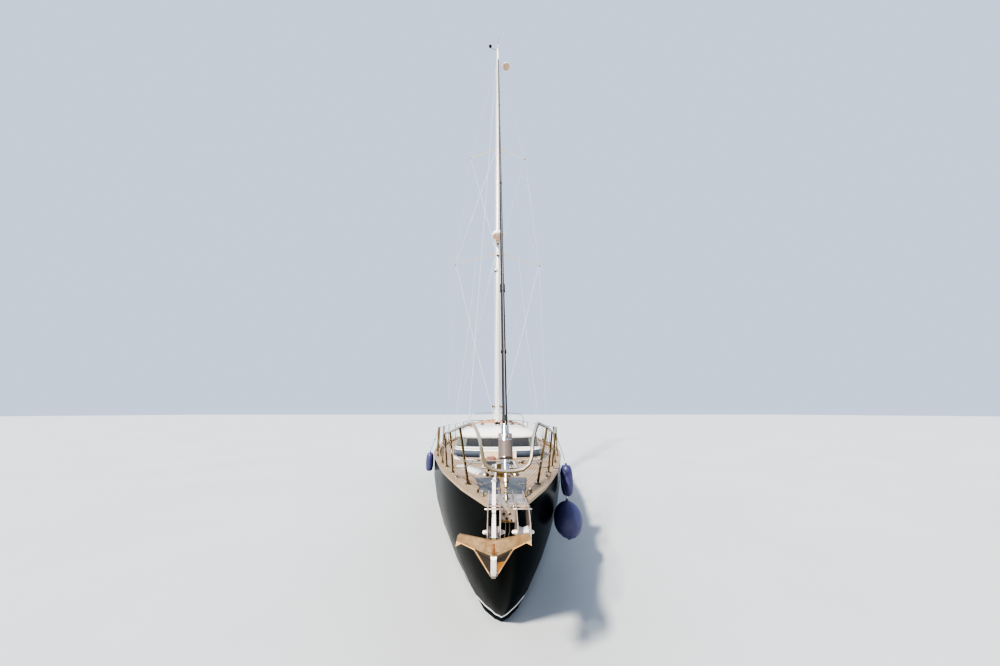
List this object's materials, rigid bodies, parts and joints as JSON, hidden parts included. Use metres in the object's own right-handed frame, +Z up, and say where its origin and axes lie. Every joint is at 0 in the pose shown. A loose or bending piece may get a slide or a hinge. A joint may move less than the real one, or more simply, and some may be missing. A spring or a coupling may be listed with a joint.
{
  "type": "sailing yacht",
  "caption": "Cruising sailing yacht afloat: dark hull, teak deck and cap rail, low deckhouse, aft cockpit, anchor on its bow roller, furling forestay and a sloop rig with spreaders",
  "frame": {"origin": "amidships on the centreline, at the waterline that the boat floats on", "axes": "+Z up, bow towards -Y, +X to port"},
  "size_m": [4.0304, 14.4564, 19.66],
  "materials": {
    "topsides_paint": "near-black glossy topsides over a moulded hull, off-white boot-top stripe",
    "antifouling": "flat rolled bottom paint",
    "deck_teak": "weathered teak planks with dark caulked seams",
    "cap_teak": "weathered teak, lightly oiled, edges rounded",
    "gelcoat": "moulded off-white gelcoat, semi-gloss",
    "smoked_glass": "smoked acrylic, polished",
    "stainless": "polished stainless tube, wire and sheet",
    "galvanised": "hot-dip galvanised steel with rust at the joints",
    "bronze": "cast bronze, dulled",
    "painted_iron": "painted cast engine block",
    "aluminium": "anodised extrusion",
    "dark_foil": "dark coated aluminium extrusion and housings",
    "black_rubber": "moulded black rubber",
    "grey_composite": "dark grey non-skid panel",
    "varnished_wood": "varnished hardwood",
    "fender_vinyl": "navy inflatable vinyl",
    "white_plastic": "moulded white plastic"
  },
  "bodies": {
    "boat": {"hull": "topsides_paint", "keel": "antifouling", "skeg": "antifouling", "shaft_strut": "bronze", "engine": "painted_iron", "deck": "deck_teak", "cap_rail": "cap_teak", "trunk": "gelcoat", "deckhouse": "gelcoat", "deckhouse_roof": "gelcoat", "windscreen": "smoked_glass", "sprayhood_hoop": "stainless", "cockpit_coaming": "gelcoat", "steering_pedestal": "gelcoat", "stem_fitting": "stainless", "anchor": "galvanised", "windlass": "stainless", "pulpit": "stainless", "ladder_bracket": "stainless", "mast": "aluminium", "forestay_turnbuckle": "stainless", "backstay": "stainless", "radome": "white_plastic", "television_antenna": "white_plastic", "wind_gear": "dark_foil", "trunk_window_port": "smoked_glass", "trunk_window_starboard": "smoked_glass", "side_window_port": "smoked_glass", "side_window_starboard": "smoked_glass", "bow_roller_port": "black_rubber", "bow_roller_starboard": "black_rubber", "winch_port": "stainless", "winch_starboard": "stainless", "lifeline_port": "stainless", "lifeline_starboard": "stainless", "pushpit_port": "stainless", "pushpit_starboard": "stainless", "lower_spreader_port": "aluminium", "lower_spreader_starboard": "aluminium", "upper_spreader_port": "aluminium", "upper_spreader_starboard": "aluminium", "shrouds_port": "stainless", "shrouds_starboard": "stainless", "fender_round_port": "fender_vinyl", "fender_long_port": "fender_vinyl", "fender_starboard": "fender_vinyl"},
    "rudder_blade": {"rudder": "antifouling"},
    "helm_wheel": {"steering_wheel": "stainless"},
    "screw": {"propeller": "bronze"},
    "main_boom": {"boom": "aluminium", "boom_vang": "aluminium"},
    "furling_gear": {"furler": "dark_foil"},
    "sliding_hatch": {"companionway_hatch": "varnished_wood"},
    "cabin_door": {"companionway_door": "varnished_wood"},
    "deck_hatch": {"foredeck_hatch": "smoked_glass"},
    "anchor_lid_port": {"anchor_locker_lid_port": "grey_composite"},
    "anchor_lid_starboard": {"anchor_locker_lid_starboard": "grey_composite"},
    "locker_lid_port": {"cockpit_locker_lid_port": "deck_teak"},
    "locker_lid_starboard": {"cockpit_locker_lid_starboard": "deck_teak"},
    "swim_ladder": {"stern_ladder": "stainless"}
  },
  "joints": [
    {"name": "rudder_turn", "type": "hinge", "parent": "boat", "child": "rudder_blade", "pos_m": [0, 4.64, 0], "axis": [0, 0, 1], "range_deg": [-35, 35]},
    {"name": "wheel_turn", "type": "hinge", "parent": "boat", "child": "helm_wheel", "pos_m": [0, 4.62, 1.4], "axis": [0, 1, 0], "range_deg": [-545, 545]},
    {"name": "propeller_spin", "type": "hinge", "parent": "boat", "child": "screw", "pos_m": [0, 2.42, -0.49], "axis": [0, 0.9902, -0.1395], "continuous": true},
    {"name": "boom_swing", "type": "hinge", "parent": "boat", "child": "main_boom", "pos_m": [0, -1.28, 2.85], "axis": [0, 0, 1], "range_deg": [-60, 60]},
    {"name": "furler_spin", "type": "hinge", "parent": "boat", "child": "furling_gear", "pos_m": [0, -7.05, 1.745], "axis": [0, 0.3557, 0.9346], "continuous": true},
    {"name": "hatch_slide", "type": "slide", "parent": "boat", "child": "sliding_hatch", "axis": [0, -1, 0], "range_m": [0, 0.7]},
    {"name": "door_swing", "type": "hinge", "parent": "boat", "child": "cabin_door", "pos_m": [0.325, 2.3255, 1.6], "axis": [0, 0, -1], "range_deg": [0, 110]},
    {"name": "foredeck_hatch_lift", "type": "hinge", "parent": "boat", "child": "deck_hatch", "pos_m": [0, -3.75, 1.4695], "axis": [-1, 0, 0], "range_deg": [0, 85]},
    {"name": "anchor_lid_port_lift", "type": "hinge", "parent": "boat", "child": "anchor_lid_port", "pos_m": [0.03, -5.875, 1.594], "axis": [0, -0.9985, 0.0545], "range_deg": [0, 85]},
    {"name": "anchor_lid_starboard_lift", "type": "hinge", "parent": "boat", "child": "anchor_lid_starboard", "pos_m": [-0.03, -5.875, 1.594], "axis": [0, 0.9985, -0.0545], "range_deg": [0, 85]},
    {"name": "locker_lid_port_lift", "type": "hinge", "parent": "boat", "child": "locker_lid_port", "pos_m": [1.1, 3.6, 0.9805], "axis": [0, 1, 0], "range_deg": [0, 75]},
    {"name": "locker_lid_starboard_lift", "type": "hinge", "parent": "boat", "child": "locker_lid_starboard", "pos_m": [-1.1, 3.6, 0.9805], "axis": [0, -1, 0], "range_deg": [0, 75]},
    {"name": "ladder_fold", "type": "hinge", "parent": "boat", "child": "swim_ladder", "pos_m": [0, 6.97132, 0.85], "axis": [-1, 0, 0], "range_deg": [0, 160]}
  ],
  "couplings": [
    {"joint": "wheel_turn", "follows": "rudder_turn", "ratio": 15.4}
  ]
}
